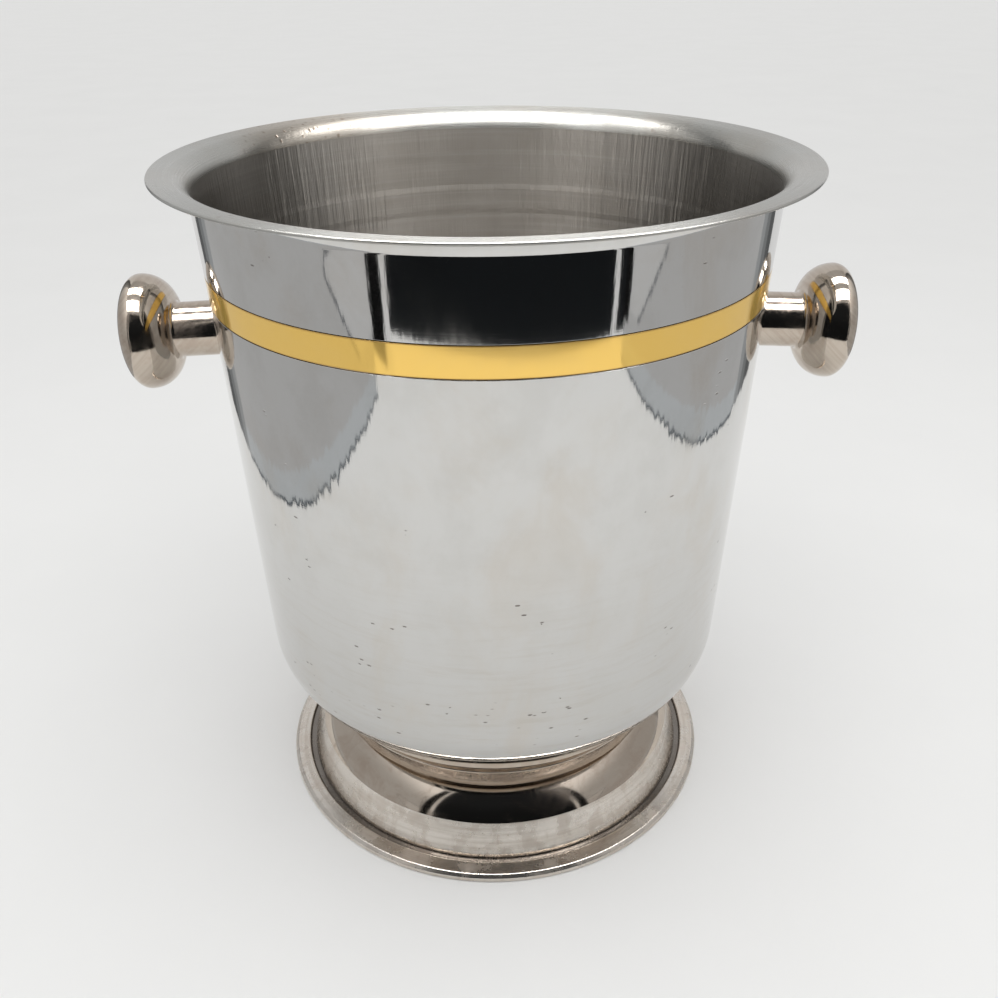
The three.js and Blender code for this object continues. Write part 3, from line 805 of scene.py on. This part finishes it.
def light_tent():
    """A white tent open towards the camera: grey sides, pale back and roof, two light strips."""
    for label, wall in (("left", LEFT_WALL), ("right", RIGHT_WALL)):
        inner = wall - math.copysign(0.001, wall)
        upright(f"side_{label}", (wall, FRONT), (wall, SIDE_END), 0.48, top_glow=1.1)
        upright(f"hem_{label}", (inner, FRONT), (inner, SIDE_END), 0.55, high=HEM,
                tint=(0.93, 0.97, 1.0))
        crease = 2 * inner - wall
        upright(f"hem_shadow_{label}", (crease, FRONT), (crease, SIDE_END), 0.1, high=HEM_SHADOW,
                tint=(0.7, 0.85, 1.0))
        # Painted shadow: the seam cards glow dimmer in steps towards the back corner, standing for the
        # tent's corner shadow.
        for i, (start, end, glow) in enumerate(SEAM_SHADOW_STEPS):
            upright(f"seam_{label}_{i}", (wall, start), (wall, end), glow, tint=(0.95, 0.98, 1.0))
        upright(f"corner_{label}", (wall, SEAM_END), (wall, BACK), 0.75)
    tent_fold("fold_left", LEFT_WALL, 0.125)
    tent_fold("fold_right", RIGHT_WALL, 0.118)
    upright("back", (LEFT_WALL, BACK), (RIGHT_WALL, BACK), 0.72, top_glow=0.72)
    overhead("roof", FRONT, BACK, TENT_TOP, 0.5)
    for name, near, far in (("strip_front", -0.25, -0.07), ("strip_back", 0.04, 0.16)):
        overhead(name, near, far, TENT_TOP - 0.004, STRIP_GLOW)
    for name, left, right, glow in (("post_left", LEFT_WALL, -0.238, POST_GLOW),
                                    ("trim_left", -0.237, -0.219, TRIM_GLOW),
                                    ("trim_right", 0.29, 0.31, TRIM_GLOW),
                                    ("post_right", 0.341, RIGHT_WALL, POST_GLOW)):
        upright(name, (left, FRONT), (right, FRONT), glow, low=POST_FOOT)
    beside = RIGHT_WALL - 0.003
    upright("post_right_side", (beside, FRONT), (beside, FRONT + 0.018), POST_GLOW, low=POST_FOOT)
    opening()


def opening():
    """Dark room in front of the tent. It stands further off at its middle than at its sides."""
    corners = []
    for i in range(OPENING_STEPS + 1):
        x = LEFT_WALL - OPENING_PAST + (RIGHT_WALL - LEFT_WALL + 2 * OPENING_PAST) * i / OPENING_STEPS
        y = OPENING_REACH + OPENING_CURVE * (x - OPENING_MIDDLE) ** 2
        corners += [(x, y, 0.0003), (x, y, 1.2)]
    card("opening", corners, 0.012, 0.02, (0.8, 0.9, 1.0))


def softbox():
    """A faint broad light from above that reflections don't see; it only shapes the shadow."""
    data = bpy.data.lights.new("softbox", "AREA")
    data.shape = "RECTANGLE"
    data.size, data.size_y = 0.7, 0.5
    data.energy = 1.5
    lamp = bpy.data.objects.new("softbox", data)
    lamp.location = (0.03, -0.22, TENT_TOP + 0.1)
    lamp.visible_glossy = False
    bpy.context.scene.collection.objects.link(lamp)


def floor():
    size = 6.0
    mesh = bpy.data.meshes.new("floor")
    corners = [(-size, -size, 0), (size, -size, 0), (size, size, 0), (-size, size, 0)]
    mesh.from_pydata(corners, [], [(0, 1, 2, 3)])
    sheet = bpy.data.objects.new("floor", mesh)
    bpy.context.scene.collection.objects.link(sheet)
    n = Nodes("floor_white")
    spot = n.add("TexCoord").outputs["Object"]
    tone = n.blend(n.noise(spot, 9, 4.0, 0.6), colour(0.80, 0.80, 0.795), colour(0.84, 0.84, 0.835))
    mesh.materials.append(n.finish("BsdfPrincipled", {"Base Color": tone, "Roughness": 0.9,
                                                      "Specular IOR Level": 0.1}))


def sky():
    world = bpy.data.worlds.new("studio")
    bpy.context.scene.world = world
    world.use_nodes = True
    back = world.node_tree.nodes["Background"]
    back.inputs[0].default_value = colour(0.9, 0.9, 0.895)
    back.inputs[1].default_value = 1.0


def camera():
    data = bpy.data.cameras.new("camera")
    data.lens = LENS
    data.sensor_width = SENSOR
    data.clip_start = 0.01
    data.clip_end = 50
    level = math.cos(CAMERA_PITCH)
    ahead = Vector((math.sin(CAMERA_YAW) * level, math.cos(CAMERA_YAW) * level, -math.sin(CAMERA_PITCH)))
    right = Vector((math.cos(CAMERA_YAW), -math.sin(CAMERA_YAW), 0))
    up = right.cross(ahead)
    side = math.cos(CAMERA_ROLL) * right + math.sin(CAMERA_ROLL) * up
    top = math.cos(CAMERA_ROLL) * up - math.sin(CAMERA_ROLL) * right
    turn = Matrix((side, top, -ahead)).transposed().to_4x4()
    eye = bpy.data.objects.new("camera", data)
    eye.matrix_world = Matrix.Translation(CAMERA_SPOT) @ turn
    bpy.context.scene.collection.objects.link(eye)
    bpy.context.scene.camera = eye


# ============ the scene ============
camera()
sky()
floor()
light_tent()
softbox()
nickel, zinc, rubber = nickel_plate(), zinc_plate(), seal_rubber()
bucket_body()
gold_band()
for side, label in ((-1, "left"), (1, "right")):
    knob(side, label, nickel)
    knob_fixings(side, label, zinc, rubber)
foot(nickel, satin_nickel())
collar(nickel)
foot_fixings(zinc)
bpy.context.scene.view_settings.view_transform = "Standard"
